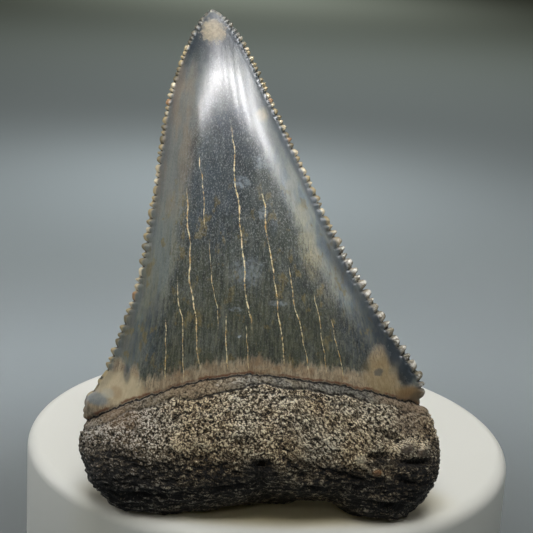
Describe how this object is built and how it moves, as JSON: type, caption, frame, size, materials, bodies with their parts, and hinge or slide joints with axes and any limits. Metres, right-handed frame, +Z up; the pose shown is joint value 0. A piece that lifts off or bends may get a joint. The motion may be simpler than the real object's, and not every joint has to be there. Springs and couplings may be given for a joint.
{
  "type": "fossil shark tooth on stand",
  "caption": "Serrated triangular fossil shark tooth with a coarse dark root, standing upright near the front of a plain round white display block.",
  "frame": {"origin": "centre of the stand's underside", "axes": "+Z up; the tooth shows its lingual face towards -Y, and its tip leans towards -X"},
  "size_m": [0.06, 0.06, 0.0834],
  "materials": {
    "fossil_tooth": "polished blue-grey enamel with fine tan cracks and pale serrations, over a matte, grainy, dark brown root",
    "stand": "plain satin white"
  },
  "bodies": {
    "root": {"tooth": "fossil_tooth", "stand": "stand"}
  },
  "joints": []
}
